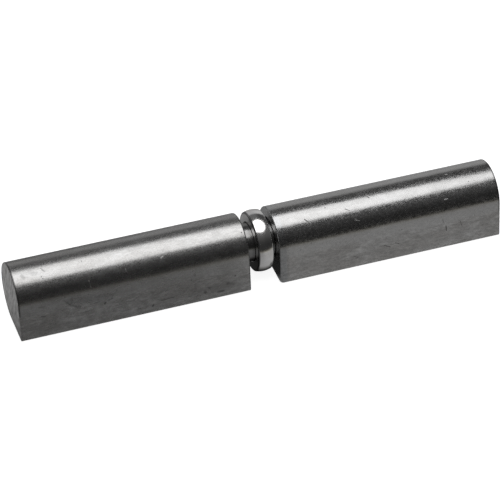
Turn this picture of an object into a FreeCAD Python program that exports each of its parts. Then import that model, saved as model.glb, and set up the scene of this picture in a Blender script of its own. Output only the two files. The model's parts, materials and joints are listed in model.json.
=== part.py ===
"""Weld-on barrel hinge: two drop-section barrels, a pin pressed into one of them and a loose thrust ring.

The hinge lies on one flat of its barrels, as it comes to rest on a table. X runs along the pin from the
lower leaf to the upper leaf, Z is up, and the origin is on the table, under the middle of the hinge.
"""
import FreeCAD, Part
import Sketcher
import math
import os
from enum import IntEnum

DOCUMENT = FreeCAD.newDocument("BarrelHinge")
SHEET = DOCUMENT.addObject("Spreadsheet::Sheet", "Sizes")

# Driving sizes in millimetres, with the drill's point angle in degrees
DRIVING = {
    # The drop-shaped bar that both barrels are cut from, and how far its sharp side stands out of its round
    "barrel_diameter": 13.0,
    "tip_rise": 3.25,
    "tip_radius": 0.3,
    "barrel_length": 48.5,
    "inner_edge_break": 0.25,
    "outer_edge_break": 0.12,
    # The round that the sharp side's inner corner is worn to on the upper barrel
    "worn_corner": 0.8,
    # The pin: the steel left round it, and its length in the lower barrel and in the upper one
    "bore_wall": 2.5,
    "pin_seat": 24.0,
    "pin_reach": 22.0,
    "pin_chamfer": 0.8,
    # The blind bores: the room past the pin's end, the mouth's chamfer and the drilled point
    "seat_relief": 1.0,
    "lift_relief": 6.0,
    "bore_mouth": 0.4,
    "drill_point": 118.0,
    # The ring, and the gaps on its two sides while the leaves lie a little apart
    "ring_thickness": 3.25,
    "ring_crown": 0.3,
    "ring_edge_radius": 0.35,
    "ring_bore_chamfer": 0.2,
    "lower_gap": 2.05,
    "upper_gap": 1.1,
    # Clearances, each on the radius
    "bore_clearance": 0.05,
    "ring_clearance": 0.08,
    "ring_inset": 0.05,
}

# Sizes that follow from the driving ones
DERIVED = {
    "barrel_radius": "=barrel_diameter / 2",
    "pin_radius": "=barrel_radius - bore_wall",
    "tip_offset": "=barrel_radius + tip_rise - tip_radius",
    "flank_angle": "=asin((barrel_radius - tip_radius) / tip_offset)",
    "tip_reach": "=tip_offset + tip_radius",
    "tip_side": "=tip_offset * cos(flank_angle) + tip_radius",
    "axis_side": "=(tip_side - barrel_radius) / 2",
    "leaf_gap": "=lower_gap + ring_thickness + upper_gap",
    "pin_length": "=pin_seat + leaf_gap + pin_reach",
    "seat_depth": "=pin_seat + seat_relief",
    "lift_radius": "=pin_radius + bore_clearance",
    "lift_depth": "=pin_reach + lift_relief",
    "ring_bore_radius": "=pin_radius + ring_clearance",
    "ring_face_radius": "=barrel_radius - ring_inset - ring_crown",
    "crown_radius": "=ring_thickness * ring_thickness / (8 * ring_crown) + ring_crown / 2",
}

# A place nearer than this to another, in millimetres, is the same place
NEAR = 0.001

# The turn that lays a barrel on its flat, and the one that turns a bar end for end
LAID = "rotation(vector(1; 0; 0); Sizes.flank_angle - 90 deg)"
END_FOR_END = "rotation(vector(0; 0; 1); 180 deg)"


class Point(IntEnum):
    """How a sketch numbers the points of a line or an arc."""
    START = 1
    END = 2
    CENTRE = 3


class Axis(IntEnum):
    """How a sketch numbers its own two axes."""
    X = -1
    Y = -2


ROOT = (Axis.X, Point.START)


def fill_sheet():
    """Writes the driving sizes as plain numbers and the derived ones as formulas."""
    cells = [(alias, str(number)) for alias, number in DRIVING.items()]
    cells += list(DERIVED.items())
    for row, (alias, content) in enumerate(cells, start=1):
        SHEET.set(f"A{row}", alias)
        SHEET.set(f"B{row}", content)
        SHEET.setAlias(f"B{row}", alias)
    DOCUMENT.recompute()


def size(alias):
    """The number that a cell of the sheet holds."""
    number = SHEET.get(alias)
    return getattr(number, "Value", number)


def new_body(name):
    body = DOCUMENT.addObject("PartDesign::Body", name)
    body.Label = name
    return body


def new_sketch(body, name, plane):
    """An empty sketch on one of the body's own origin planes."""
    sketch = body.newObject("Sketcher::SketchObject", name)
    planes = {feature.Role: feature for feature in body.Origin.OriginFeatures}
    sketch.AttachmentSupport = [(planes[plane], "")]
    sketch.MapMode = "FlatFace"
    return sketch


def constrain(sketch, kind, *where):
    return sketch.addConstraint(Sketcher.Constraint(kind, *where))


def evaluate(item, expression):
    """The number that an expression over the sheet has now."""
    return float(item.evalExpression(expression))


def bind(sketch, expression, kind, *where):
    """Adds a dimension that follows an expression over the sheet."""
    index = constrain(sketch, kind, *where, evaluate(sketch, expression))
    sketch.setExpression(f"Constraints[{index}]", expression)


def fix_corner(sketch, line, along, out):
    """Holds a line's start at two expressions from the origin; None lies on that axis."""
    if along is None and out is None:
        constrain(sketch, "Coincident", line, Point.START, *ROOT)
        return
    if along is None:
        constrain(sketch, "PointOnObject", line, Point.START, Axis.Y)
    else:
        bind(sketch, along, "DistanceX", *ROOT, line, Point.START)
    if out is None:
        constrain(sketch, "PointOnObject", line, Point.START, Axis.X)
    else:
        bind(sketch, out, "DistanceY", *ROOT, line, Point.START)


def draw_section(sketch, corners):
    """Draws a closed outline of straight lines through corners given as pairs of expressions."""
    points = []
    for along, out in corners:
        x = evaluate(sketch, along) if along else 0.0
        y = evaluate(sketch, out) if out else 0.0
        points.append(FreeCAD.Vector(x, y, 0))
    count = len(points)
    for index, point in enumerate(points):
        sketch.addGeometry(Part.LineSegment(point, points[(index + 1) % count]), False)
    for index in range(count):
        constrain(sketch, "Coincident", index, Point.END, (index + 1) % count, Point.START)
    for index, (along, out) in enumerate(corners):
        fix_corner(sketch, index, along, out)


def draw_drop(sketch):
    """Draws the bar's section: a round, two flats tangent to it, and a small round where they meet."""
    angle = math.radians(size("flank_angle"))
    middle = FreeCAD.Vector(0, 0, 0)
    tip_middle = FreeCAD.Vector(0, -size("tip_offset"), 0)
    along_bar = FreeCAD.Vector(0, 0, 1)
    big = Part.Circle(middle, along_bar, size("barrel_radius"))
    small = Part.Circle(tip_middle, along_bar, size("tip_radius"))
    round_side = Part.ArcOfCircle(big, -angle, math.pi + angle)
    tip_side = Part.ArcOfCircle(small, math.pi + angle, 2 * math.pi - angle)
    arc = sketch.addGeometry(round_side, False)
    back = sketch.addGeometry(Part.LineSegment(round_side.EndPoint, tip_side.StartPoint), False)
    tip = sketch.addGeometry(tip_side, False)
    front = sketch.addGeometry(Part.LineSegment(tip_side.EndPoint, round_side.StartPoint), False)
    constrain(sketch, "Coincident", arc, Point.CENTRE, *ROOT)
    constrain(sketch, "PointOnObject", tip, Point.CENTRE, Axis.Y)
    constrain(sketch, "Tangent", arc, Point.END, back, Point.START)
    constrain(sketch, "Tangent", back, Point.END, tip, Point.START)
    constrain(sketch, "Tangent", tip, Point.END, front, Point.START)
    constrain(sketch, "Tangent", front, Point.END, arc, Point.START)
    bind(sketch, "Sizes.barrel_radius", "Radius", arc)
    bind(sketch, "Sizes.tip_radius", "Radius", tip)
    bind(sketch, "Sizes.tip_offset", "Distance", *ROOT, tip, Point.CENTRE)


def draw_ring_section(sketch):
    """Draws half of the ring's section: a straight bore, two flat faces and a crowned rim."""
    thickness = size("ring_thickness")
    bore = size("ring_bore_radius")
    face = size("ring_face_radius")
    crest = FreeCAD.Vector(thickness / 2, face + size("ring_crown"), 0)
    low_left = FreeCAD.Vector(0, bore, 0)
    low_right = FreeCAD.Vector(thickness, bore, 0)
    high_left = FreeCAD.Vector(0, face, 0)
    high_right = FreeCAD.Vector(thickness, face, 0)
    bottom = sketch.addGeometry(Part.LineSegment(low_left, low_right), False)
    right = sketch.addGeometry(Part.LineSegment(low_right, high_right), False)
    left = sketch.addGeometry(Part.LineSegment(high_left, low_left), False)
    rim = sketch.addGeometry(Part.Arc(high_right, crest, high_left), False)
    constrain(sketch, "Coincident", bottom, Point.END, right, Point.START)
    constrain(sketch, "Coincident", right, Point.END, rim, Point.START)
    constrain(sketch, "Coincident", rim, Point.END, left, Point.START)
    constrain(sketch, "Coincident", left, Point.END, bottom, Point.START)
    constrain(sketch, "Horizontal", bottom)
    constrain(sketch, "Vertical", right)
    fix_corner(sketch, bottom, None, "Sizes.ring_bore_radius")
    fix_corner(sketch, left, None, "Sizes.ring_face_radius")
    bind(sketch, "Sizes.ring_thickness", "DistanceX", bottom, Point.START, bottom, Point.END)
    bind(sketch, "Sizes.crown_radius", "Radius", rim)
    bind(sketch, "Sizes.ring_thickness / 2", "DistanceX", *ROOT, rim, Point.CENTRE)


def revolve(body, kind, name, sketch):
    """Turns a section about the pin's axis, as a solid of its own or as a cut."""
    feature = body.newObject(kind, name)
    feature.Profile = sketch
    feature.ReferenceAxis = (sketch, ["H_Axis"])
    feature.Angle = 360.0
    DOCUMENT.recompute()
    return feature


def edges_on_rim(shape, place):
    """Names of the edges round the outside of the flat face that stands at a place along X."""
    rim = []
    for face in shape.Faces:
        stands_there = face.BoundBox.XLength < NEAR and abs(face.BoundBox.XMin - place) < NEAR
        if stands_there:
            rim += face.OuterWire.Edges
    names = []
    for number, edge in enumerate(shape.Edges, start=1):
        if any(edge.isSame(other) for other in rim):
            names.append(f"Edge{number}")
    return names


def edges_of_radius(shape, radius):
    """Names of the full circles of one radius about the pin's axis."""
    names = []
    for number, edge in enumerate(shape.Edges, start=1):
        is_circle = edge.Curve.TypeId == "Part::GeomCircle"
        if is_circle and abs(edge.Curve.Radius - radius) < NEAR:
            names.append(f"Edge{number}")
    return names


def dress_edges(body, kind, name, base, edges, amount, expression):
    """Rounds or chamfers the named edges of a feature by a size from the sheet."""
    feature = body.newObject(kind, name)
    feature.Base = (base, edges)
    setattr(feature, amount, evaluate(feature, expression))
    feature.setExpression(amount, expression)
    DOCUMENT.recompute()
    return feature


def pad_bar(body):
    """The bar: its drop-shaped section at X 0, run out to the barrel's length."""
    section = new_sketch(body, f"{body.Name}_section", "YZ_Plane")
    draw_drop(section)
    bar = body.newObject("PartDesign::Pad", f"{body.Name}_bar")
    bar.Profile = section
    bar.setExpression("Length", "Sizes.barrel_length")
    DOCUMENT.recompute()
    return bar


def bore_end(body, bar, radius, depth):
    """Drills the blind bore into the end at X 0: its mouth, its wall and its drilled point."""
    section = new_sketch(body, f"{body.Name}_bore_section", "XZ_Plane")
    draw_section(section, [
        (None, None),
        (None, f"{radius} + Sizes.bore_mouth"),
        ("Sizes.bore_mouth", radius),
        (depth, radius),
        (f"{depth} + {radius} / tan(Sizes.drill_point / 2)", None),
    ])
    bore = revolve(body, "PartDesign::Groove", f"{body.Name}_bore", section)
    if bore.Shape.Volume >= bar.Shape.Volume:
        raise RuntimeError(f"the bore of {body.Name} cuts nothing")
    return bore


def break_ends(body, bored):
    """Takes the sharpness off the outlines of both ends."""
    inner = edges_on_rim(bored.Shape, 0.0)
    rounded = dress_edges(body, "PartDesign::Fillet", f"{body.Name}_inner_edge", bored, inner,
                          "Radius", "Sizes.inner_edge_break")
    outer = edges_on_rim(rounded.Shape, size("barrel_length"))
    dress_edges(body, "PartDesign::Chamfer", f"{body.Name}_outer_edge", rounded, outer,
                "Size", "Sizes.outer_edge_break")


def draw_worn_corner(sketch):
    """Draws what is worn off the tip's corner at X 0: two lines along its sides and the round between them."""
    worn = size("worn_corner")
    reach = size("tip_reach")
    corner = FreeCAD.Vector(0, -reach, 0)
    on_end = FreeCAD.Vector(0, worn - reach, 0)
    on_tip = FreeCAD.Vector(worn, -reach, 0)
    middle = FreeCAD.Vector(worn, worn - reach, 0)
    quarter = Part.Circle(middle, FreeCAD.Vector(0, 0, 1), worn)
    end_side = sketch.addGeometry(Part.LineSegment(on_end, corner), False)
    tip_side = sketch.addGeometry(Part.LineSegment(corner, on_tip), False)
    round_side = sketch.addGeometry(Part.ArcOfCircle(quarter, math.pi, 1.5 * math.pi), False)
    constrain(sketch, "Coincident", end_side, Point.END, tip_side, Point.START)
    constrain(sketch, "Vertical", end_side)
    constrain(sketch, "Horizontal", tip_side)
    constrain(sketch, "Tangent", tip_side, Point.END, round_side, Point.END)
    constrain(sketch, "Tangent", round_side, Point.START, end_side, Point.START)
    constrain(sketch, "PointOnObject", tip_side, Point.START, Axis.Y)
    bind(sketch, "-Sizes.tip_reach", "DistanceY", *ROOT, tip_side, Point.START)
    bind(sketch, "Sizes.worn_corner", "Radius", round_side)


def wear_corner(body):
    """Rounds the inner corner of the sharp side, square through the bar."""
    section = new_sketch(body, f"{body.Name}_corner_section", "XZ_Plane")
    draw_worn_corner(section)
    whole = body.Tip.Shape.Volume
    wear = body.newObject("PartDesign::Pocket", f"{body.Name}_corner")
    wear.Profile = section
    wear.Type = "Length"
    wear.Midplane = True
    wear.setExpression("Length", "Sizes.barrel_diameter")
    DOCUMENT.recompute()
    if wear.Shape.Volume >= whole:
        raise RuntimeError(f"nothing is worn off the corner of {body.Name}")


def build_lower_barrel():
    """The lower leaf, bored to the pin's own size because the pin is pressed into it."""
    body = new_body("lower_barrel")
    bar = pad_bar(body)
    bored = bore_end(body, bar, "Sizes.pin_radius", "Sizes.seat_depth")
    break_ends(body, bored)
    place(body, "-Sizes.leaf_gap / 2", f"{LAID} * {END_FOR_END}")
    return body


def build_upper_barrel():
    """The upper leaf, bored with a running clearance and deep enough to close on the ring."""
    body = new_body("upper_barrel")
    bar = pad_bar(body)
    bored = bore_end(body, bar, "Sizes.lift_radius", "Sizes.lift_depth")
    break_ends(body, bored)
    wear_corner(body)
    place(body, "Sizes.leaf_gap / 2", LAID)
    return body


def build_hinge_pin():
    """The plain round pin with a chamfer at each end."""
    body = new_body("hinge_pin")
    section = new_sketch(body, "hinge_pin_section", "XZ_Plane")
    draw_section(section, [
        (None, None),
        (None, "Sizes.pin_radius - Sizes.pin_chamfer"),
        ("Sizes.pin_chamfer", "Sizes.pin_radius"),
        ("Sizes.pin_length - Sizes.pin_chamfer", "Sizes.pin_radius"),
        ("Sizes.pin_length", "Sizes.pin_radius - Sizes.pin_chamfer"),
        ("Sizes.pin_length", None),
    ])
    revolve(body, "PartDesign::Revolution", "hinge_pin_turned", section)
    place(body, "-Sizes.leaf_gap / 2 - Sizes.pin_seat", LAID)
    return body


def build_thrust_ring():
    """The loose ring: crowned rim with rounded edges, and a chamfered bore."""
    body = new_body("thrust_ring")
    section = new_sketch(body, "thrust_ring_section", "XZ_Plane")
    draw_ring_section(section)
    turned = revolve(body, "PartDesign::Revolution", "thrust_ring_turned", section)
    rim = edges_of_radius(turned.Shape, size("ring_face_radius"))
    rounded = dress_edges(body, "PartDesign::Fillet", "thrust_ring_rim_edges", turned, rim,
                          "Radius", "Sizes.ring_edge_radius")
    bore = edges_of_radius(rounded.Shape, size("ring_bore_radius"))
    dress_edges(body, "PartDesign::Chamfer", "thrust_ring_bore_edges", rounded, bore,
                "Size", "Sizes.ring_bore_chamfer")
    place(body, "-Sizes.leaf_gap / 2 + Sizes.lower_gap", LAID)
    return body


def place(body, along, turn):
    """Sets a body on the pin's axis at a place along X, with a turn."""
    base = f"vector({along}; Sizes.axis_side; Sizes.barrel_radius)"
    body.setExpression("Placement", f"placement({base}; {turn})")


def check_document():
    """Stops if any object failed to compute."""
    DOCUMENT.recompute()
    for item in DOCUMENT.Objects:
        if "Invalid" in item.State or "Error" in item.State:
            raise RuntimeError(f"{item.Name} is {item.State}")


def check_body(body):
    """Stops unless the body is one valid solid."""
    shape = body.Shape
    if shape.isNull() or not shape.isValid() or len(shape.Solids) != 1:
        raise RuntimeError(f"{body.Label} is not one valid solid")


def write_step(body):
    body.Shape.exportStep(os.path.join("parts", f"{body.Label}.step"))
    print(f"{body.Label}: {body.Shape.Volume:.1f} cubic mm")


def main():
    fill_sheet()
    pieces = [build_lower_barrel(), build_upper_barrel(), build_hinge_pin(), build_thrust_ring()]
    check_document()
    for body in pieces:
        check_body(body)
    os.makedirs("parts", exist_ok=True)
    for body in pieces:
        write_step(body)


main()
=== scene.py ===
"""The looks of a weld-on barrel hinge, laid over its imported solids.

The four solids keep their own shape: two drop-shaped steel barrels, the pin that is pressed into
the lower one, and the polished ring that turns between them. This file gives each its finish and
sets them in a plain studio.
"""

import json
import logging
import math
from dataclasses import dataclass
from enum import Enum

import bpy
from bpy.types import Material, Node, NodeSocket, NodeTree, Object
from mathutils import Matrix, Vector


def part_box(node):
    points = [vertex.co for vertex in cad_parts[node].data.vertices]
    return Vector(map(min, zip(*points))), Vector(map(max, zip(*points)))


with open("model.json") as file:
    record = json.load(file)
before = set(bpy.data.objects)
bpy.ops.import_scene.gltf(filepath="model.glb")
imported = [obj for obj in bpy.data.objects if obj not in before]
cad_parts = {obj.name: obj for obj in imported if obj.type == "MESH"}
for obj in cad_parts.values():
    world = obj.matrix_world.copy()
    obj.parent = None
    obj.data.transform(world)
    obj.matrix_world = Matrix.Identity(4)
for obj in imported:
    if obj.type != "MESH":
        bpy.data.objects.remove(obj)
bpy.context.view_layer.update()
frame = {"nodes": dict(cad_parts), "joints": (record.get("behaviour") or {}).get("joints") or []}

LOG = logging.getLogger("barrel_hinge")
MM = 0.001
PER_METRE = 1000.0

# Where the pin's axis lies at rest, and where the pieces begin and end along it, in millimetres.
# The barrels lie on a flat that touches their round, so the axis is as high as the radius.
AXIS_X, AXIS_Y, AXIS_Z = (place * PER_METRE for place in frame["joints"][0]["pos_m"])
BARREL_RADIUS = AXIS_Z
INNER_END, OUTER_END = (corner.x * PER_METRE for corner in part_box("upper_barrel"))
RING_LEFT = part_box("thrust_ring")[0].x * PER_METRE

WHITE = (1.0, 1.0, 1.0, 1.0)
# What the noise in the drawn grain mostly keeps to
GRAIN_SPAN = (0.3, 0.7)


class Side(Enum):
    """Which of the two leaves a barrel belongs to, as its direction along the pin."""

    LOWER = -1
    UPPER = 1


@dataclass(frozen=True)
class Mark:
    """A scratch, a nick, a pit or a stain at its own place, as a groove with round ends.

    Attributes:
        start: Where it begins, in millimetres.
        end: Where it ends, which is where it begins if it is round.
        width: How wide it is, in millimetres.
        depth: How far its steel rises, in millimetres. It is negative in a pit and 0 in a stain.
        shade: What it does to the steel's colour: under 1 darkens it, over 1 is a painted glint.
    """

    start: tuple[float, float, float]
    end: tuple[float, float, float]
    width: float
    depth: float
    shade: float


def spot(place: tuple[float, float, float], width: float, depth: float, shade: float) -> Mark:
    """A round mark: one that ends where it begins."""
    return Mark(place, place, width, depth, shade)


@dataclass
class Wiring:
    """Adds nodes to one node tree and joins their sockets.

    Its methods take sockets or plain values. Those that work something out give back the socket
    that holds the result.
    """

    tree: NodeTree

    def node(self, kind: str, **settings: object) -> Node:
        """Adds a node.

        Args:
            kind: The node's type, without its common beginning.
            settings: Properties to set on the node.

        Returns:
            The new node.
        """
        made = self.tree.nodes.new("ShaderNode" + kind)
        for name, value in settings.items():
            setattr(made, name, value)
        return made

    def feed(self, node: Node, **inputs: object) -> Node:
        """Joins sockets to a node's inputs, or sets them to plain values.

        Args:
            node: The node that takes the values.
            inputs: The values by the input's name, which has a line for each space.

        Returns:
            The same node.
        """
        for name, value in inputs.items():
            socket = node.inputs[name.replace("_", " ")]
            self.give(socket, value)
        return node

    def give(self, socket: NodeSocket, value: object) -> None:
        """Joins a socket to an input, or sets the input to a plain value."""
        if isinstance(value, NodeSocket):
            self.tree.links.new(value, socket)
        else:
            socket.default_value = value

    def sum(self, operation: str, *values: object, clamp: bool = False) -> NodeSocket:
        """A number worked out from one to three others.

        Args:
            operation: The name of the sum, as the Math node has it.
            values: The numbers.
            clamp: Whether the result is kept from 0 to 1.
        """
        node = self.node("Math", operation=operation, use_clamp=clamp)
        for socket, value in zip(node.inputs, values):
            self.give(socket, value)
        return node.outputs[0]

    def vector(self, operation: str, first: object, second: object) -> NodeSocket:
        """A vector worked out from two others by one sum of the Vector Math node."""
        node = self.node("VectorMath", operation=operation)
        self.give(node.inputs[0], first)
        self.give(node.inputs[1], second)
        return node.outputs[0]

    def product(self, first: NodeSocket, second: NodeSocket) -> NodeSocket:
        """How far two vectors go the same way: the sum of their parts' products."""
        node = self.node("VectorMath", operation="DOT_PRODUCT")
        self.give(node.inputs[0], first)
        self.give(node.inputs[1], second)
        return node.outputs["Value"]

    def ramp(self, value: object, low: object, high: object,
             to_low: object = 0.0, to_high: object = 1.0) -> NodeSocket:
        """A number taken smoothly from one range to another.

        Args:
            value: The number.
            low: Where the first range begins.
            high: Where it ends.
            to_low: What its beginning becomes.
            to_high: What its end becomes.
        """
        node = self.node("MapRange", interpolation_type="SMOOTHSTEP")
        for name, given in (("Value", value), ("From Min", low), ("From Max", high),
                            ("To Min", to_low), ("To Max", to_high)):
            self.give(node.inputs[name], given)
        return node.outputs["Result"]

    def blend(self, share: object, first: object, second: object, kind: str = "MIX") -> NodeSocket:
        """Two colours mixed.

        Args:
            share: How much of the second colour shows.
            first: A colour.
            second: A colour.
            kind: How they mix.
        """
        node = self.node("Mix", data_type="RGBA", blend_type=kind)
        self.give(node.inputs[0], share)
        self.give(node.inputs[6], first)
        self.give(node.inputs[7], second)
        return node.outputs[2]

    def group(self, tree: NodeTree, **inputs: object) -> Node:
        """Places a shared group, gives it its values by name and returns its node."""
        node = self.node("Group", node_tree=tree)
        return self.feed(node, **inputs)


def new_group(name: str, inputs: dict[str, str], outputs: tuple[str, ...]
              ) -> tuple[Wiring, bpy.types.bpy_prop_collection, bpy.types.bpy_prop_collection]:
    """Makes a shared group with its sockets and nothing between them.

    Args:
        name: The group's name.
        inputs: Each input's name and kind.
        outputs: The names of its outputs, which are all numbers.

    Returns:
        The wiring of the new group, the sockets that it is given and the ones that it gives out.
    """
    tree = bpy.data.node_groups.new(name, "ShaderNodeTree")
    for label, kind in inputs.items():
        tree.interface.new_socket(label, in_out="INPUT", socket_type="NodeSocket" + kind)
    for label in outputs:
        tree.interface.new_socket(label, in_out="OUTPUT", socket_type="NodeSocketFloat")
    given = tree.nodes.new("NodeGroupInput")
    shown = tree.nodes.new("NodeGroupOutput")
    return Wiring(tree), given.outputs, shown.inputs


@dataclass(frozen=True)
class Effects:
    """The shared groups that the steels are made of.

    Attributes:
        place: Where a point lies on a bar.
        grain: Fine lines along the bar.
        pits: Small scattered pits.
        stain: Clouds of stain.
        mark: One scratch, pit or spot.
    """

    place: NodeTree
    grain: NodeTree
    pits: NodeTree
    stain: NodeTree
    mark: NodeTree

    @classmethod
    def build(cls) -> "Effects":
        """Builds every shared group once."""
        return cls(cls.build_place(), cls.build_grain(), cls.build_pits(), cls.build_stain(),
                   cls.build_mark())

    @staticmethod
    def build_place() -> NodeTree:
        """Builds the group that tells how far along, from and round a bar's axis a point lies."""
        wiring, given, shown = new_group("place_on_bar", {"Place": "Vector", "Axis": "Vector"},
                                         ("Along", "Away", "Round"))
        parts = wiring.node("SeparateXYZ")
        wiring.give(parts.inputs[0], wiring.vector("SUBTRACT", given["Place"], given["Axis"]))
        along, side, up = parts.outputs
        square = wiring.sum("MULTIPLY_ADD", side, side, wiring.sum("MULTIPLY", up, up))
        wiring.give(shown["Along"], along)
        wiring.give(shown["Away"], wiring.sum("SQRT", square))
        wiring.give(shown["Round"], wiring.sum("ARCTAN2", up, side))
        return wiring.tree

    @staticmethod
    def build_grain() -> NodeTree:
        """Builds the group of fine lines drawn out along the bar."""
        wiring, given, shown = new_group(
            "drawn_grain", {"Place": "Vector", "Length": "Float", "Width": "Float"}, ("Lines",))
        short = wiring.sum("DIVIDE", 1.0, given["Length"])
        thin = wiring.sum("DIVIDE", 1.0, given["Width"])
        scale = wiring.node("CombineXYZ")
        wiring.feed(scale, X=short, Y=thin, Z=thin)
        drawn = wiring.vector("MULTIPLY", given["Place"], scale.outputs[0])
        noise = wiring.node("TexNoise")
        wiring.feed(noise, Vector=drawn, Scale=1.0, Detail=3.0, Roughness=0.6)
        wiring.give(shown["Lines"], noise.outputs[0])
        return wiring.tree

    @staticmethod
    def build_pits(least_reach: float = 0.4) -> NodeTree:
        """Builds the group of small round pits, which is 1 in the middle of a pit and 0 outside.

        Args:
            least_reach: The smallest pit's reach, as a share of the largest one's.
        """
        wiring, given, shown = new_group(
            "pits", {"Place": "Vector", "Spacing": "Float", "Share": "Float", "Reach": "Float"},
            ("Pits",))
        cells = wiring.node("TexVoronoi")
        wiring.feed(cells, Vector=given["Place"], Scale=wiring.sum("DIVIDE", 1.0, given["Spacing"]))
        colour = wiring.node("SeparateColor")
        wiring.give(colour.inputs[0], cells.outputs["Color"])
        chosen = wiring.sum("LESS_THAN", colour.outputs[0], given["Share"])
        reach = wiring.sum("MULTIPLY", given["Reach"],
                           wiring.ramp(colour.outputs[1], 0.0, 1.0, least_reach, 1.0))
        depth = wiring.ramp(cells.outputs["Distance"], 0.0, reach, 1.0, 0.0)
        wiring.give(shown["Pits"], wiring.sum("MULTIPLY", chosen, depth))
        return wiring.tree

    @staticmethod
    def build_stain(stretch: tuple[float, float, float] = (0.45, 1.0, 1.0)) -> NodeTree:
        """Builds the group of cloudy stains, a little longer along the bar than across it.

        Args:
            stretch: How closely the clouds follow each other in each direction.
        """
        wiring, given, shown = new_group(
            "stain", {"Place": "Vector", "Size": "Float", "Contrast": "Float"}, ("Cloud",))
        noise = wiring.node("TexNoise")
        wiring.feed(noise, Vector=wiring.vector("MULTIPLY", given["Place"], stretch), Detail=5.0,
                    Roughness=0.62, Distortion=0.4, Scale=wiring.sum("DIVIDE", 1.0, given["Size"]))
        half = wiring.sum("DIVIDE", 0.5, given["Contrast"])
        cloud = wiring.ramp(noise.outputs[0], wiring.sum("SUBTRACT", 0.5, half),
                            wiring.sum("ADD", 0.5, half))
        wiring.give(shown["Cloud"], cloud)
        return wiring.tree

    @staticmethod
    def build_mark() -> NodeTree:
        """Builds the group of one groove, which is 1 on its middle line and 0 outside."""
        wiring, given, shown = new_group(
            "mark", {"Place": "Vector", "Start": "Vector", "End": "Vector", "Width": "Float"},
            ("Mark",))
        whole = wiring.vector("SUBTRACT", given["End"], given["Start"])
        reached = wiring.vector("SUBTRACT", given["Place"], given["Start"])
        share = wiring.sum("DIVIDE", wiring.product(reached, whole), wiring.product(whole, whole),
                           clamp=True)
        nearest = wiring.node("VectorMath", operation="SCALE")
        wiring.give(nearest.inputs[0], whole)
        wiring.give(nearest.inputs["Scale"], share)
        aside = wiring.vector("SUBTRACT", reached, nearest.outputs[0])
        distance = wiring.sum("SQRT", wiring.product(aside, aside))
        half = wiring.sum("MULTIPLY", given["Width"], 0.5)
        wiring.give(shown["Mark"], wiring.ramp(distance, 0.0, half, 1.0, 0.0))
        return wiring.tree


def new_bare_material(name: str) -> tuple[Wiring, Node]:
    """Makes a material with nothing but its output.

    Args:
        name: The material's name.

    Returns:
        The wiring of the material, and its output.
    """
    material = bpy.data.materials.new(name)
    material.use_nodes = True
    wiring = Wiring(material.node_tree)
    wiring.tree.nodes.clear()
    return wiring, wiring.node("OutputMaterial")


def new_material(name: str) -> tuple[Wiring, Node]:
    """Makes a material with a bare surface.

    Args:
        name: The material's name.

    Returns:
        The wiring of the material, and its surface shader.
    """
    wiring, output = new_bare_material(name)
    surface = wiring.node("BsdfPrincipled")
    wiring.give(output.inputs["Surface"], surface.outputs[0])
    return wiring, surface


def place_in_mm(wiring: Wiring) -> NodeSocket:
    """The point's place on the object, in millimetres."""
    coordinates = wiring.node("TexCoord")
    mapping = wiring.node("Mapping")
    wiring.give(mapping.inputs["Vector"], coordinates.outputs["Object"])
    mapping.inputs["Scale"].default_value = (PER_METRE, PER_METRE, PER_METRE)
    return mapping.outputs[0]


def grey(level: float, warmth: float = 0.0) -> tuple[float, float, float, float]:
    """A grey, a little warmer or cooler than neutral.

    Args:
        level: How light it is, as the share of light that it gives back.
        warmth: How far red lies above it and blue below it, as a share.

    Returns:
        The colour.
    """
    return (level * (1 + warmth), level, level * (1 - warmth), 1.0)


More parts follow.
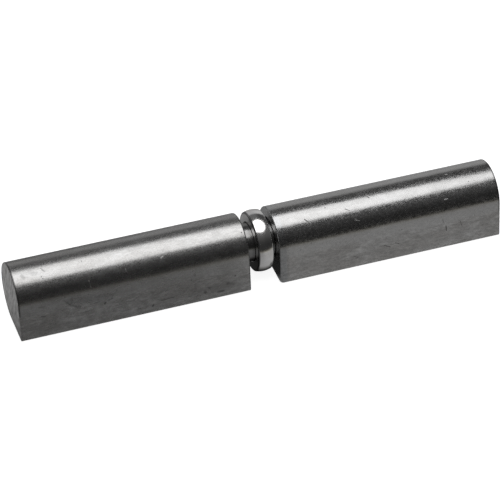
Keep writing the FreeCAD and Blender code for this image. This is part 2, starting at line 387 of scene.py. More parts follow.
@dataclass(frozen=True)
class BarrelSteel:
    """Bare drawn bar: a fine grain along it, small pits, cloudy flats and sawn ends.

    The steps of the finish take what is known of a point: its place in millimetres, how far
    outwards it lies, whether it is on a flat, and its fine grain and its scattered pits.

    Attributes:
        name: The finish's name.
        effects: The shared groups.
        side: The leaf that the bar belongs to.
        marks: Its own scratches, pits and stains.
        bright: How light its round is.
        flat_bright: How light its flats are.
        end_bright: How light its sawn end is.
        end_shades: The end's darkest and lightest lines, as shares of that.
        roughness: How matt the drawn steel is.
        film_roughness: How much more matt it is under the thickest film.
        end_roughness: How matt the sawn end is.
        scored_roughness: How matt a scratch is.
        edge: How light the steel is at a glancing angle.
        speckle: The height of the fine grain, in millimetres.
        fine: The fine grain's darkest and lightest shares of the steel's light.
        drawn: The drawn strokes' darkest and lightest shares on the round.
        flat_drawn: The same on the flats.
        grainy: How much the fine grain adds to the roughness, at least and at most.
        grainy_span: The part of the grain's range over which it does so.
        clouded: How much of the large stains shows on the round.
        flat_clouded: How much of them shows on the flats.
        blotted: How much of the small stains shows on the round.
        flat_blotted: How much of them shows on the flats.
        stained_bright: How light stained steel is, as a share of the flats.
        uneven: The long grain, the dents and the waves, each with its length, width and height.
        pit_depth: How deep the scattered pits are, in millimetres.
        pit_shade: How light the middle of a pit is.
        coat: How much of a thin oily film lies on the steel, at least and at most.
        coat_roughness: How matt that film is.
        flat_past: How far from the round a flat begins and is all flat, in millimetres.
        end_short: How far short of the outer end the sawn look begins and is whole.
        outer_rim: How far short of the outer end the painted edge shade begins and is whole.
        inner_rim: How far past the inner end the painted edge shade is still whole, and ends.
        outer_edge_painted_shade: How light painted shade leaves the outer edge, on round and on
            flats.
        inner_edge_painted_shade: How light painted shade leaves the inner edge.
        band: How far past the inner end the even band is still whole, and ends.
        band_share: How much of the band's colour shows.
        band_bright: How light the band is, as a share of the flats.
    """

    name: str
    effects: Effects
    side: Side
    marks: tuple[Mark, ...]
    bright: float = 0.49
    flat_bright: float = 0.57
    end_bright: float = 0.56
    end_shades: tuple[float, float] = (0.3, 1.3)
    roughness: float = 0.20
    film_roughness: float = 0.05
    end_roughness: float = 0.5
    scored_roughness: float = 0.6
    edge: float = 1.0
    speckle: float = 0.004
    fine: tuple[float, float] = (0.88, 1.08)
    drawn: tuple[float, float] = (0.95, 1.04)
    flat_drawn: tuple[float, float] = (0.84, 1.12)
    grainy: tuple[float, float] = (-0.006, 0.02)
    grainy_span: tuple[float, float] = (0.35, 0.65)
    clouded: float = 0.15
    flat_clouded: float = 0.75
    blotted: float = 0.2
    flat_blotted: float = 0.7
    stained_bright: float = 0.6
    uneven: tuple[tuple[float, float, float], ...] = ((3.5, 0.12, 0.003), (2.2, 1.3, 0.008),
                                                      (16.0, 9.0, 0.07))
    pit_depth: float = 0.012
    pit_shade: float = 0.5
    coat: tuple[float, float] = (0.56, 0.8)
    coat_roughness: float = 0.45
    flat_past: tuple[float, float] = (0.02, 0.35)
    end_short: tuple[float, float] = (0.06, 0.02)
    outer_rim: tuple[float, float] = (0.36, 0.28)
    inner_rim: tuple[float, float] = (0.24, 0.32)
    outer_edge_painted_shade: tuple[float, float] = (0.3, 0.85)
    inner_edge_painted_shade: float = 0.4
    band: tuple[float, float] = (1.3, 1.6)
    band_share: float = 0.9
    band_bright: float = 0.84

    def material(self) -> Material:
        """Builds the finish."""
        wiring, surface = new_material(self.name)
        place = place_in_mm(wiring)
        where = wiring.group(self.effects.place, Place=place, Axis=(AXIS_X, AXIS_Y, AXIS_Z))
        flat = wiring.ramp(where.outputs["Away"],
                           *(BARREL_RADIUS + past for past in self.flat_past))
        outwards = wiring.sum("MULTIPLY", where.outputs["Along"], float(self.side.value))
        end = wiring.ramp(outwards, *(OUTER_END - short for short in self.end_short))
        speckle = wiring.group(self.effects.grain, Place=place, Length=0.42,
                               Width=0.30).outputs["Lines"]
        film = wiring.group(self.effects.stain, Place=place, Size=0.9,
                            Contrast=2.5).outputs["Cloud"]
        pits = wiring.group(self.effects.pits, Place=place, Spacing=1.9, Share=0.3,
                            Reach=0.13).outputs["Pits"]

        steel = self.banded(wiring, self.stained(wiring, place, flat), outwards)
        # The broken edges at both ends get painted shade in the steel's colour
        steel = self.shaded(wiring, steel, self.rim(wiring, outwards, flat))
        steel = wiring.blend(end, steel, self.sawn(wiring, place))
        grain = self.grain(wiring, place, flat, speckle)
        shade = wiring.sum("MULTIPLY", grain, wiring.ramp(pits, 0.0, 1.0, 1.0, self.pit_shade))
        height = self.height(wiring, place, speckle, pits)
        shade, height, scored = self.marked(wiring, place, shade, height)
        steel = self.shaded(wiring, steel, shade)

        rough = wiring.ramp(film, 0.0, 1.0, self.roughness, self.roughness + self.film_roughness)
        rough = wiring.sum("ADD", rough, wiring.ramp(speckle, *self.grainy_span, *self.grainy))
        rough = wiring.ramp(scored, 0.0, 1.0, rough, self.scored_roughness)
        rough = wiring.ramp(end, 0.0, 1.0, rough, self.end_roughness)
        bump = wiring.node("Bump")
        wiring.feed(bump, Height=height, Strength=1.0, Distance=MM)
        wiring.feed(surface, Base_Color=steel, Metallic=1.0, Roughness=rough,
                    Specular_Tint=grey(self.edge),
                    Coat_Weight=wiring.ramp(film, 0.0, 1.0, *self.coat),
                    Coat_Roughness=self.coat_roughness, Normal=bump.outputs[0])
        return bpy.data.materials[self.name]

    def stained(self, wiring: Wiring, place: NodeSocket, flat: NodeSocket) -> NodeSocket:
        """The steel's colour with its stains, which show most on the flats."""
        cloud = wiring.group(self.effects.stain, Place=place, Size=5.0, Contrast=3.5)
        blot = wiring.group(self.effects.stain, Place=place, Size=1.1, Contrast=3.5)
        stained = self.flat_bright * self.stained_bright
        steel = wiring.blend(flat, grey(self.bright, 0.004), grey(self.flat_bright, 0.004))
        share = wiring.sum("MULTIPLY", wiring.ramp(flat, 0.0, 1.0, self.clouded, self.flat_clouded),
                           cloud.outputs["Cloud"])
        steel = wiring.blend(share, steel, grey(stained, 0.035))
        share = wiring.sum("MULTIPLY", wiring.ramp(flat, 0.0, 1.0, self.blotted, self.flat_blotted),
                           blot.outputs["Cloud"])
        return wiring.blend(share, steel, grey(stained, 0.02))

    def banded(self, wiring: Wiring, steel: NodeSocket, outwards: NodeSocket) -> NodeSocket:
        """Lays the even, slightly cooler band over the upper barrel's inner end."""
        if self.side is Side.LOWER:
            return steel
        band = wiring.ramp(outwards, *(INNER_END + past for past in self.band), 1.0, 0.0)
        share = wiring.sum("MULTIPLY", band, self.band_share)
        return wiring.blend(share, steel, grey(self.flat_bright * self.band_bright, -0.01))

    def rim(self, wiring: Wiring, outwards: NodeSocket, flat: NodeSocket) -> NodeSocket:
        """The painted shade on the broken edges at both ends. It is 1 away from them."""
        outer = wiring.ramp(outwards, *(OUTER_END - short for short in self.outer_rim), 1.0,
                            wiring.ramp(flat, 0.0, 1.0, *self.outer_edge_painted_shade))
        inner = wiring.ramp(outwards, *(INNER_END + past for past in self.inner_rim),
                            self.inner_edge_painted_shade, 1.0)
        return wiring.sum("MULTIPLY", outer, inner)

    def sawn(self, wiring: Wiring, place: NodeSocket) -> NodeSocket:
        """The colour of a sawn end: uneven lines from top to bottom."""
        upright = wiring.node("VectorRotate", rotation_type="AXIS_ANGLE")
        wiring.feed(upright, Vector=place, Axis=(0.0, 1.0, 0.0), Angle=math.pi / 2)
        lines = wiring.group(self.effects.grain, Place=upright.outputs[0], Length=1.6, Width=0.4)
        dark, light = (grey(self.end_bright * share, 0.01) for share in self.end_shades)
        return wiring.blend(wiring.ramp(lines.outputs["Lines"], *GRAIN_SPAN), dark, light)

    def grain(self, wiring: Wiring, place: NodeSocket, flat: NodeSocket,
              speckle: NodeSocket) -> NodeSocket:
        """How light the fine grain and the longer drawn strokes leave the steel."""
        strokes = wiring.group(self.effects.grain, Place=place, Length=1.3, Width=0.30)
        fine = wiring.ramp(speckle, *GRAIN_SPAN, *self.fine)
        dark, light = (wiring.ramp(flat, 0.0, 1.0, *pair)
                       for pair in zip(self.drawn, self.flat_drawn))
        drawn = wiring.ramp(strokes.outputs["Lines"], *GRAIN_SPAN, dark, light)
        return wiring.sum("MULTIPLY", fine, drawn)

    def height(self, wiring: Wiring, place: NodeSocket, speckle: NodeSocket,
               pits: NodeSocket) -> NodeSocket:
        """The unevenness without marks, in millimetres: grain, pits, dents and waves."""
        whole = wiring.sum("MULTIPLY", speckle, self.speckle)
        whole = wiring.sum("MULTIPLY_ADD", pits, -self.pit_depth, whole)
        for length, width, height in self.uneven:
            lines = wiring.group(self.effects.grain, Place=place, Length=length, Width=width)
            whole = wiring.sum("MULTIPLY_ADD", lines.outputs["Lines"], height, whole)
        return whole

    def marked(self, wiring: Wiring, place: NodeSocket, shade: NodeSocket,
               height: NodeSocket) -> tuple[NodeSocket, ...]:
        """Lays the bar's marks over its shade and its unevenness, one after another.

        Each mark is used up before the next is made, because a renderer holds only so many values.

        Returns:
            The shade and the unevenness with the marks, and how scored the steel is there.
        """
        scored = 0.0
        for mark in self.marks:
            groove = wiring.group(self.effects.mark, Place=place, Start=mark.start, End=mark.end,
                                  Width=mark.width).outputs["Mark"]
            shade = wiring.sum("MULTIPLY", shade, wiring.ramp(groove, 0.0, 1.0, 1.0, mark.shade))
            if mark.depth:
                height = wiring.sum("MULTIPLY_ADD", groove, mark.depth, height)
                scored = wiring.sum("MAXIMUM", scored, groove)
        return shade, height, scored

    @staticmethod
    def shaded(wiring: Wiring, steel: NodeSocket, shade: NodeSocket) -> NodeSocket:
        """A colour of which only a share of the light is left."""
        node = wiring.node("CombineColor")
        wiring.feed(node, Red=shade, Green=shade, Blue=shade)
        return wiring.blend(1.0, steel, node.outputs[0], "MULTIPLY")


@dataclass(frozen=True)
class GroundSteel:
    """Ground and polished steel: turned lines round the pin's axis and a clean shine.

    Attributes:
        name: The finish's name.
        effects: The shared groups.
        bright: How light the steel is.
        roughness: How matt it is.
        line_depth: How deep the turned lines are, in millimetres.
        cloud_bright: How light its cloudy parts are, as a share.
        cloud_roughness: How much more matt they are.
    """

    name: str
    effects: Effects
    bright: float
    roughness: float
    line_depth: float
    cloud_bright: float = 0.86
    cloud_roughness: float = 0.04

    def material(self) -> Material:
        """Builds the finish."""
        wiring, surface = new_material(self.name)
        place = place_in_mm(wiring)
        where = wiring.group(self.effects.place, Place=place, Axis=(AXIS_X, AXIS_Y, AXIS_Z))
        ring = wiring.node("CombineXYZ")
        wiring.feed(ring, X=where.outputs["Along"], Y=where.outputs["Away"],
                    Z=wiring.sum("MULTIPLY", where.outputs["Round"], 0.5))
        turned = wiring.group(self.effects.grain, Place=ring.outputs[0], Length=0.1, Width=0.6)
        cloud = wiring.group(self.effects.stain, Place=place, Size=2.5,
                             Contrast=2.5).outputs["Cloud"]
        steel = wiring.blend(cloud, grey(self.bright), grey(self.bright * self.cloud_bright, 0.02))
        steel = self.edged(wiring, steel, where)
        bump = wiring.node("Bump")
        wiring.feed(bump, Height=turned.outputs["Lines"], Strength=0.3,
                    Distance=self.line_depth * MM)
        wiring.feed(surface, Base_Color=steel, Metallic=1.0,
                    Roughness=wiring.ramp(cloud, 0.0, 1.0, self.roughness,
                                          self.roughness + self.cloud_roughness),
                    Normal=bump.outputs[0])
        return bpy.data.materials[self.name]

    def edged(self, wiring: Wiring, steel: NodeSocket, where: Node) -> NodeSocket:
        """The steel's colour with the painted shade on its edges, which is none on a plain piece.
        """
        return steel


@dataclass(frozen=True)
class RingSteel(GroundSteel):
    """The ring's polish, with painted shade along the edge that faces the lower barrel.

    Attributes:
        painted_edge_shade: How light the painted shade leaves the edge, as a share of the polish.
        painted_shade_width: How far from the ring's left face it is still whole, and ends.
        painted_shade_from: How far from the axis it begins and is whole.
    """

    painted_edge_shade: float = 0.3
    painted_shade_width: tuple[float, float] = (0.205, 0.305)
    painted_shade_from: tuple[float, float] = (5.75, 5.85)

    def edged(self, wiring: Wiring, steel: NodeSocket, where: Node) -> NodeSocket:
        """The steel's colour with the painted shade on its edge."""
        aside = wiring.ramp(where.outputs["Along"],
                            *(RING_LEFT + width for width in self.painted_shade_width), 1.0, 0.0)
        outside = wiring.ramp(where.outputs["Away"], *self.painted_shade_from)
        return wiring.blend(wiring.sum("MULTIPLY", aside, outside), steel,
                            grey(self.bright * self.painted_edge_shade))


def dress(node: str, material: Material) -> None:
    """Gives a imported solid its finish.

    Args:
        node: The solid's name.
        material: Its finish.
    """
    shown = frame["nodes"][node]
    for index in range(len(shown.material_slots)):
        shown.material_slots[index].material = material
    LOG.info("%s: %d faces in %s", node, len(shown.data.polygons), material.name)


# The marks of each barrel, at the places where the photograph shows them
LOWER_MARKS = (
    # Nicks and scratches in the round. The ones that brighten the steel carry a painted glint
    Mark((-36.8, -4.8, 10.3), (-36.6, -5.5, 9.0), 0.22, 0.03, 2.1),
    Mark((-29.1, -4.4, 10.8), (-28.8, -4.7, 10.4), 0.26, 0.02, 1.2),
    Mark((-21.4, -4.0, 11.2), (-20.9, -3.8, 11.4), 0.30, 0.05, 1.8),
    Mark((-45.5, -1.0, 12.8), (-45.2, -1.7, 12.6), 0.20, -0.02, 0.4),
    Mark((-45.2, -1.7, 12.6), (-44.8, -1.9, 12.6), 0.20, -0.02, 0.5),
    # Pits in the round
    spot((-45.9, -2.8, 12.1), 0.35, -0.02, 0.3),
    spot((-45.7, -3.2, 11.9), 0.35, -0.02, 0.3),
    spot((-35.5, -3.4, 11.7), 0.35, -0.02, 0.3),
    spot((-37.2, -1.4, 12.7), 0.35, -0.02, 0.4),
    spot((-3.9, -2.7, 12.2), 0.40, -0.02, 0.3),
    # Stains on the round
    Mark((-49.6, -1.8, 12.6), (-49.4, -2.2, 12.4), 1.5, 0.0, 0.76),
    Mark((-47.4, -1.9, 12.5), (-46.8, -1.8, 12.6), 1.4, 0.0, 0.80),
    # Pits and scratches in the flat
    Mark((-33.9, -6.3, 4.9), (-34.1, -6.4, 4.7), 0.55, -0.01, 0.35),
    Mark((-24.0, -6.8, 1.8), (-24.2, -6.8, 1.6), 0.55, -0.01, 0.35),
    spot((-26.8, -6.8, 1.7), 0.45, -0.01, 0.5),
    Mark((-22.4, -6.7, 2.5), (-19.7, -6.7, 2.6), 0.45, -0.01, 0.6),
    Mark((-47.2, -6.3, 4.9), (-46.3, -6.4, 4.8), 0.35, -0.01, 0.5),
    spot((-6.5, -6.4, 4.4), 0.60, -0.01, 0.4),
    # Stains on the flat, from the outer end to the inner one
    Mark((-47.6, -6.0, 7.1), (-46.3, -6.0, 7.1), 0.50, 0.0, 0.70),
    Mark((-42.3, -6.0, 7.5), (-41.2, -6.1, 6.2), 0.70, 0.0, 0.70),
    spot((-42.1, -5.8, 8.2), 0.60, 0.0, 0.55),
    Mark((-41.2, -6.1, 6.2), (-39.2, -6.3, 5.1), 0.70, 0.0, 0.70),
    Mark((-41.0, -6.0, 7.0), (-33.0, -6.3, 6.0), 3.6, 0.0, 0.78),
    Mark((-40.7, -5.9, 7.7), (-40.8, -6.1, 6.5), 0.50, 0.0, 0.65),
    Mark((-33.2, -6.3, 5.2), (-32.4, -6.2, 5.6), 0.60, 0.0, 0.65),
    spot((-31.4, -6.0, 7.2), 0.70, 0.0, 0.65),
    Mark((-29.0, -6.5, 3.7), (-27.5, -6.4, 4.3), 0.70, 0.0, 0.80),
    Mark((-27.5, -6.4, 4.3), (-26.1, -6.6, 3.0), 0.70, 0.0, 0.80),
    spot((-27.2, -6.8, 1.8), 0.70, 0.0, 0.65),
    spot((-16.4, -6.7, 2.0), 0.70, 0.0, 0.65),
    spot((-15.8, -6.2, 5.6), 0.65, 0.0, 0.55),
    Mark((-15.5, -6.7, 2.6), (-7.5, -6.7, 2.3), 3.4, 0.0, 0.80),
    spot((-15.0, -6.1, 6.7), 0.70, 0.0, 0.50),
    spot((-14.2, -6.3, 5.0), 0.60, 0.0, 0.65),
    Mark((-13.1, -6.7, 2.3), (-13.0, -6.7, 2.0), 1.00, 0.0, 0.55),
    Mark((-12.0, -6.6, 2.8), (-12.2, -6.6, 3.0), 0.80, 0.0, 0.65),
    Mark((-10.3, -6.8, 1.5), (-9.2, -6.8, 1.5), 0.90, 0.0, 0.50),
    Mark((-8.0, -6.6, 3.1), (-8.2, -6.6, 3.1), 1.20, 0.0, 0.60),
    # A pit in the sawn end
    spot((-51.7, -3.2, 4.4), 0.80, -0.05, 0.1),
)
UPPER_MARKS = (
    # Scratches in the round
    Mark((9.6, -2.8, 12.1), (10.1, -3.3, 11.8), 0.25, -0.03, 0.4),
    Mark((18.5, -2.5, 12.3), (19.4, -3.1, 12.0), 0.20, -0.02, 0.4),
    Mark((19.5, -4.4, 10.9), (20.4, -4.6, 10.6), 0.13, 0.02, 1.0),
    Mark((19.8, -4.6, 10.6), (20.9, -4.8, 10.3), 0.13, 0.02, 1.0),
    Mark((23.8, -0.4, 12.9), (24.2, -1.2, 12.8), 0.30, -0.05, 0.5),
    Mark((39.7, -4.5, 10.7), (40.4, -4.5, 10.7), 0.30, 0.04, 1.0),
    Mark((41.8, 0.6, 13.0), (42.3, 0.5, 13.0), 0.25, 0.03, 1.0),
    # A pit in the round
    spot((14.6, -1.3, 12.8), 0.40, -0.02, 0.3),
    # Scratches and a pit in the flat
    Mark((19.2, -6.6, 2.7), (20.1, -6.7, 2.3), 0.30, -0.01, 0.6),
    Mark((25.9, -6.5, 3.7), (27.2, -6.6, 3.1), 0.35, -0.01, 0.65),
    Mark((28.3, -6.5, 3.8), (29.1, -6.5, 3.4), 0.30, -0.01, 0.5),
    spot((29.8, -6.1, 6.7), 0.40, -0.01, 0.4),
    Mark((38.9, -6.1, 6.8), (39.0, -6.2, 6.1), 0.30, -0.01, 0.5),
    Mark((39.6, -6.3, 5.1), (39.7, -6.5, 4.0), 0.40, -0.01, 0.3),
    Mark((42.7, -6.2, 5.7), (43.2, -6.4, 4.2), 0.30, -0.01, 0.75),
    # Painted shade down the flat at its inner end, where it reflects a lighter table
    Mark((3.9, -5.8, 8.0), (3.9, -6.9, 1.0), 3.8, 0.0, 0.70),
)


@dataclass
class LowerLeaf:
    """The leaf that holds the pin: a bored bar and the pin pressed into it."""

    effects: Effects

    def dress(self) -> None:
        """Gives the bar and the pin their finishes."""
        bar = BarrelSteel("lower_barrel_steel", self.effects, Side.LOWER, LOWER_MARKS,
                          roughness=0.24, edge=0.70, speckle=0.0015, clouded=0.35, blotted=0.45,
                          coat=(0.7, 1.0))
        # The pin's dark steel is partly its own and partly painted shade for the gaps it shows in
        pin = GroundSteel("pin_steel_ground", self.effects, bright=0.3, roughness=0.22,
                          line_depth=0.006)
        dress("lower_barrel", bar.material())
        dress("hinge_pin", pin.material())


@dataclass
class ThrustRing:
    """The polished ring between the leaves."""

    effects: Effects

    def dress(self) -> None:
        """Gives the ring its finish."""
        polish = RingSteel("ring_steel_polished", self.effects, bright=0.95, roughness=0.14,
                           line_depth=0.002)
        dress("thrust_ring", polish.material())


@dataclass
class UpperLeaf:
    """The leaf that lifts off: a bored bar with a short even band at its inner end."""

    effects: Effects

    def dress(self) -> None:
        """Gives the bar its finish."""
        bar = BarrelSteel("upper_barrel_steel", self.effects, Side.UPPER, UPPER_MARKS,
                          roughness=0.17, speckle=0.006, grainy=(-0.027, 0.09),
                          fine=(0.86, 1.10), inner_edge_painted_shade=1.0)
        dress("upper_barrel", bar.material())


@dataclass
class Drape:
    """A curved screen of the studio, along the hinge, which shows in reflections only.

    Its angles are seen from the hinge: 0 is level in front, 90 overhead and 180 level behind.

    Attributes:
        name: The screen's name.
        angles: Where it begins and ends, in degrees.
        turns: Where its light starts to change and has changed, in degrees.
        lights: Its light before and after that, at its left.
        right_lights: The same at its right.
        sides: Where its left ends and its right begins, in metres.
        radius: How far it hangs from the hinge, in metres.
        length: How long it is, in metres.
        facets: How many flat faces the whole round would have.
    """

    name: str
    angles: tuple[float, float]
    turns: tuple[float, float]
    lights: tuple[float, float]
    right_lights: tuple[float, float]
    sides: tuple[float, float] = (0.14, 0.46)
    radius: float = 1.1
    length: float = 10.0
    facets: int = 90

    def build(self) -> Object:
        """Adds the screen at its size and place."""
        bpy.ops.object.select_all(action="DESELECT")
        bpy.ops.mesh.primitive_cylinder_add(vertices=self.facets, radius=self.radius,
                                            depth=self.length, end_fill_type="NOTHING",
                                            rotation=(0.0, math.pi / 2, 0.0))
        screen = bpy.context.object
        screen.name = self.name
        bpy.ops.object.transform_apply(location=True, rotation=True, scale=True)
        bpy.ops.object.mode_set(mode="EDIT")
        bpy.ops.mesh.select_mode(type="FACE")
        bpy.ops.mesh.select_all(action="DESELECT")
        bpy.ops.object.mode_set(mode="OBJECT")
        first, last = self.angles
        for face in screen.data.polygons:
            angle = math.degrees(math.atan2(face.center.z, -face.center.y))
            face.select = (angle - first) % 360.0 > last - first
        bpy.ops.object.mode_set(mode="EDIT")
        bpy.ops.mesh.delete(type="FACE")
        bpy.ops.object.mode_set(mode="OBJECT")
        screen.data.materials.append(self.material())
        hide_but_in_reflections(screen)
        return screen

    def material(self) -> Material:
        """Builds a glow that changes between two angles, and from left to right."""
        wiring, output = new_bare_material(self.name)
        parts = wiring.node("SeparateXYZ")
        wiring.give(parts.inputs[0], wiring.node("TexCoord").outputs["Object"])
        front = wiring.sum("MULTIPLY", parts.outputs["Y"], -1.0)
        angle = wiring.sum("ARCTAN2", parts.outputs["Z"], front)
        first, last = (math.radians(edge) for edge in self.turns)
        low, high = (wiring.ramp(parts.outputs["X"], *self.sides, *pair)
                     for pair in zip(self.lights, self.right_lights))
        glow = wiring.node("Emission")
        wiring.feed(glow, Strength=wiring.ramp(angle, first, last, low, high))
        wiring.give(output.inputs["Surface"], glow.outputs[0])
        return bpy.data.materials[self.name]


@dataclass
class Table:
    """The sheet that the hinge lies on, as its steel sees it: a little lighter to the right.

    It lies just over the floor and shows in reflections only. Its glow holds a painted shadow,
    nearly dark under the hinge, and beside the lower barrel's sawn end it has its own light.

    Attributes:
        name: The sheet's name.
        drop: How far it lies below the hinge, in metres.
        width: Its size along the hinge.
        depth: Its size from front to back.
        lights: Its light at the left, left of the ring and at the right.
        turns_mm: Where the first of them ends, the second one lies and the third begins.
        shade: How much of its light is left under the hinge.
        shade_front_mm: Where the hinge's shade begins and is whole in front.
        shade_back_mm: Where it is still whole, and ends, behind.
        shade_side_mm: The same at both ends.
        beyond_lights: The light past the left end, in front and behind.
        beyond_mm: Where the one changes to the other.
        beyond_width: How far past the left end that light takes over, in millimetres.
        far_light: How much of the light is left far in front.
        far_edges: Where that ends and the full light begins, in metres.
        far_tint: The sheet's colour far in front.
        tint_edges: Where that colour ends and white begins, in metres.
    """

    name: str = "table_sheet"
    drop: float = 0.00005
    width: float = 4.0
    depth: float = 2.2
    lights: tuple[float, float, float] = (0.18, 0.215, 0.34)
    turns_mm: tuple[float, float, float] = (-24.0, -6.0, 7.0)
    shade: float = 0.06
    shade_front_mm: tuple[float, float] = (-7.5, -3.5)
    shade_back_mm: tuple[float, float] = (8.0, 17.0)
    shade_side_mm: tuple[float, float] = (50.5, 52.5)
    beyond_lights: tuple[float, float] = (0.22, 0.44)
    beyond_mm: tuple[float, float] = (-12.0, 12.0)
    beyond_width: float = 1.0
    far_light: float = 0.12
    far_edges: tuple[float, float] = (-0.13, -0.045)
    far_tint: tuple[float, float, float, float] = (1.06, 1.0, 0.84, 1.0)
    tint_edges: tuple[float, float] = (-0.09, -0.03)

    def build(self) -> Object:
        """Adds the sheet at its size and place."""
        bpy.ops.object.select_all(action="DESELECT")
        bpy.ops.mesh.primitive_plane_add(size=1.0)
        sheet = bpy.context.object
        sheet.name = self.name
        sheet.scale = (self.width, self.depth, 1.0)
        sheet.location = (0.0, 0.0, -self.drop)
        bpy.ops.object.transform_apply(location=True, rotation=True, scale=True)
        sheet.data.materials.append(self.material())
        hide_but_in_reflections(sheet)
        return sheet

    def material(self) -> Material:
        """Builds the sheet's glow."""
        wiring, output = new_bare_material(self.name)
        parts = wiring.node("SeparateXYZ")
        wiring.give(parts.inputs[0], wiring.node("TexCoord").outputs["Object"])
        along, back, _ = parts.outputs
        level = wiring.sum("MULTIPLY", self.light(wiring, along, back),
                           wiring.ramp(back, *self.far_edges, self.far_light, 1.0))
        level = wiring.sum("MULTIPLY", level, self.out_of_shade(wiring, along, back))
        tint = wiring.blend(wiring.ramp(back, *self.tint_edges, 1.0, 0.0), WHITE, self.far_tint)
        glow = wiring.node("Emission")
        wiring.feed(glow, Strength=level, Color=tint)
        wiring.give(output.inputs["Surface"], glow.outputs[0])
        return bpy.data.materials[self.name]

    def light(self, wiring: Wiring, along: NodeSocket, back: NodeSocket) -> NodeSocket:
        """The sheet's light from left to right, and past the hinge's left end."""
        left, middle, right = (turn * MM for turn in self.turns_mm)
        first, second, third = self.lights
        level = wiring.sum("ADD", wiring.ramp(along, left, middle, first, second),
                           wiring.ramp(along, middle, right, 0.0, third - second))
        left_end = -OUTER_END * MM
        beyond = wiring.ramp(along, left_end - self.beyond_width * MM, left_end, 1.0, 0.0)
        turns = (turn * MM for turn in self.beyond_mm)
        return wiring.ramp(beyond, 0.0, 1.0, level, wiring.ramp(back, *turns, *self.beyond_lights))

    def out_of_shade(self, wiring: Wiring, along: NodeSocket, back: NodeSocket) -> NodeSocket:
        """How far a point lies out of the hinge's painted shade, from the shade's depth to 1."""
        front_edges, back_edges, side_edges = ([edge * MM for edge in pair] for pair in
                                               (self.shade_front_mm, self.shade_back_mm,
                                                self.shade_side_mm))
        before = wiring.ramp(back, *front_edges, 1.0, self.shade)
        behind = wiring.ramp(back, *back_edges, self.shade, 1.0)
        beside = wiring.ramp(wiring.sum("ABSOLUTE", along), *side_edges, self.shade, 1.0)
        return wiring.sum("MAXIMUM", wiring.sum("MAXIMUM", before, behind), beside)


def hide_but_in_reflections(piece: Object) -> None:
    """Keeps a piece of the studio out of sight and out of the light, but not out of the shine."""
    piece.visible_camera = False
    piece.visible_diffuse = False
    piece.visible_shadow = False


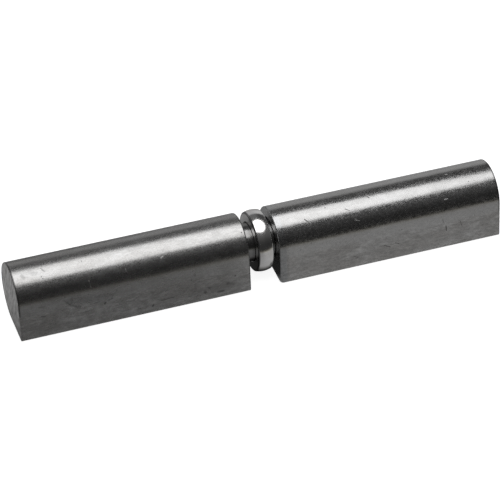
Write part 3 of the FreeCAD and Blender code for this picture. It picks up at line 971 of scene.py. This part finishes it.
@dataclass
class Studio:
    """A pale floor, one oval soft light overhead, and screens that the steel reflects.

    Attributes:
        floor_drop: How far the floor lies below the hinge, in metres.
        floor_side: How long and wide it is.
        floor_white: How light it looks by itself.
        floor_colour: How light it is where the lamp lights it, as a grey.
        world_light: How much the surroundings light the hinge.
        softbox_place: Where the soft light hangs.
        softbox_length: Its size along the hinge.
        softbox_width: Its size across the hinge.
        softbox_light: How bright its face is.
    """

    floor_drop: float = 0.00010
    floor_side: float = 8.0
    floor_white: float = 0.88
    floor_colour: float = 0.5
    world_light: float = 0.35
    softbox_place: tuple[float, float, float] = (0.030, 0.014, 0.3)
    softbox_length: float = 0.32
    softbox_width: float = 0.29
    softbox_light: float = 1.8

    def build(self) -> None:
        """Builds the floor, the world, the light and the screens."""
        self.build_floor()
        self.build_world()
        self.build_softbox()
        for drape in self.drapes():
            drape.build()
        Table().build()

    @staticmethod
    def seen(wiring: Wiring) -> NodeSocket:
        """Whether the camera, a reflection or clear material looks at the point."""
        path = wiring.node("LightPath")
        shown = wiring.sum("MAXIMUM", path.outputs["Is Camera Ray"], path.outputs["Is Glossy Ray"])
        return wiring.sum("MAXIMUM", shown, path.outputs["Is Transmission Ray"])

    def build_floor(self) -> None:
        """Adds a plain pale floor that looks white and keeps the object's shadow."""
        bpy.ops.object.select_all(action="DESELECT")
        bpy.ops.mesh.primitive_plane_add(size=self.floor_side, location=(0, 0, -self.floor_drop))
        floor = bpy.context.object
        floor.name = "floor"
        bpy.ops.object.transform_apply(location=True, rotation=True, scale=True)
        wiring, output = new_bare_material("floor")
        matt = wiring.node("BsdfDiffuse")
        wiring.feed(matt, Color=grey(self.floor_colour))
        glow = wiring.node("Emission")
        wiring.feed(glow, Strength=wiring.sum("MULTIPLY", self.seen(wiring), self.floor_white))
        both = wiring.node("AddShader")
        wiring.give(both.inputs[0], matt.outputs[0])
        wiring.give(both.inputs[1], glow.outputs[0])
        wiring.give(output.inputs["Surface"], both.outputs[0])
        floor.data.materials.append(bpy.data.materials["floor"])

    def build_world(self) -> None:
        """Makes the surroundings white to look at and moderately light."""
        world = bpy.data.worlds.new("studio")
        bpy.context.scene.world = world
        world.use_nodes = True
        wiring = Wiring(world.node_tree)
        wiring.tree.nodes.clear()
        light = wiring.node("Background")
        wiring.feed(light, Color=grey(1.0),
                    Strength=wiring.ramp(self.seen(wiring), 0.0, 1.0, self.world_light, 1.0))
        output = wiring.node("OutputWorld")
        wiring.give(output.inputs["Surface"], light.outputs[0])

    def build_softbox(self) -> None:
        """Hangs the soft light over the hinge."""
        data = bpy.data.lights.new("softbox", "AREA")
        data.shape = "ELLIPSE"
        data.size = self.softbox_length
        data.size_y = self.softbox_width
        area = math.pi / 4 * self.softbox_length * self.softbox_width
        data.energy = self.softbox_light * math.pi * area
        lamp = bpy.data.objects.new("softbox", data)
        lamp.location = self.softbox_place
        lamp.visible_camera = False
        bpy.context.scene.collection.objects.link(lamp)

    @staticmethod
    def drapes() -> list[Drape]:
        """The screens round the hinge: dark in front and overhead, lighter low down behind."""
        return [
            Drape("front_drape", (-2.0, 90.0), (18.0, 73.0), (0.026, 0.115), (0.024, 0.09)),
            Drape("back_drape", (90.0, 182.0), (147.7, 157.7), (0.115, 0.36), (0.05, 0.46)),
        ]


@dataclass(frozen=True)
class View:
    """The photograph's viewpoint: a long lens from above and to the left.

    Attributes:
        eye: Where the camera stands, in metres.
        right: Which way the picture's right points.
        up: Which way its top points.
        back: Which way the camera's back points.
        lens: The focal length, in millimetres.
        sensor: The sensor's width, in millimetres.
    """

    eye: tuple[float, float, float] = (-0.14707, -0.40526, 0.36754)
    right: tuple[float, float, float] = (0.94322, -0.33205, 0.00858)
    up: tuple[float, float, float] = (0.20776, 0.60993, 0.76474)
    back: tuple[float, float, float] = (-0.25917, -0.71953, 0.64428)
    lens: float = 198.34
    sensor: float = 36.0

    def build(self) -> None:
        """Adds the camera and makes it the scene's own."""
        data = bpy.data.cameras.new("camera")
        data.lens = self.lens
        data.sensor_width = self.sensor
        data.clip_start = 0.01
        data.clip_end = 50.0
        camera = bpy.data.objects.new("camera", data)
        turn = Matrix((self.right, self.up, self.back)).transposed().to_4x4()
        camera.matrix_world = Matrix.Translation(Vector(self.eye)) @ turn
        bpy.context.scene.collection.objects.link(camera)
        bpy.context.scene.camera = camera


def main() -> None:
    """Dresses the hinge and builds its studio."""
    logging.basicConfig(level=logging.INFO, format="%(name)s: %(message)s")
    effects = Effects.build()
    LowerLeaf(effects).dress()
    ThrustRing(effects).dress()
    UpperLeaf(effects).dress()
    Studio().build()
    View().build()
    bpy.context.scene.view_settings.view_transform = "Standard"


if __name__ == "__main__":
    main()
